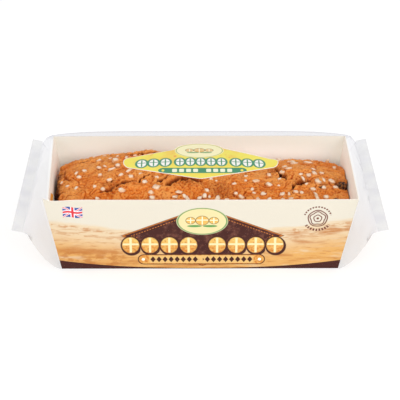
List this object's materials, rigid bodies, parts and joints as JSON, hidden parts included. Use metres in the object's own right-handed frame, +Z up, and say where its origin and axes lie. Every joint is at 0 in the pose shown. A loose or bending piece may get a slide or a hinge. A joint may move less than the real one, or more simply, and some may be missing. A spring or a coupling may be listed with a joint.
{
  "type": "wrapped hot cross bun loaf",
  "caption": "Long domed fruit loaf with a cracked crust and sugar nibs, in an open tapered card tray, wrapped in clear film with flat seal fins and a paper label on top.",
  "frame": {"origin": "middle of the pack's footprint, on the surface that the tray's base stands on", "axes": "+X along the loaf towards the right seal fin, +Y towards the back of the pack, +Z up through the label"},
  "size_m": [0.28, 0.168, 0.0752],
  "materials": {
    "film": "clear glossy film",
    "crust": "baked crust with sugar nibs",
    "raisin": "wrinkled dried fruit",
    "label": "printed satin paper",
    "tray": "printed folding board, cream inside"
  },
  "bodies": {
    "root": {"film_wrap": "film", "loaf": "crust", "raisin_1": "raisin", "raisin_2": "raisin", "raisin_3": "raisin", "top_label": "label", "tray": "tray"}
  },
  "joints": []
}
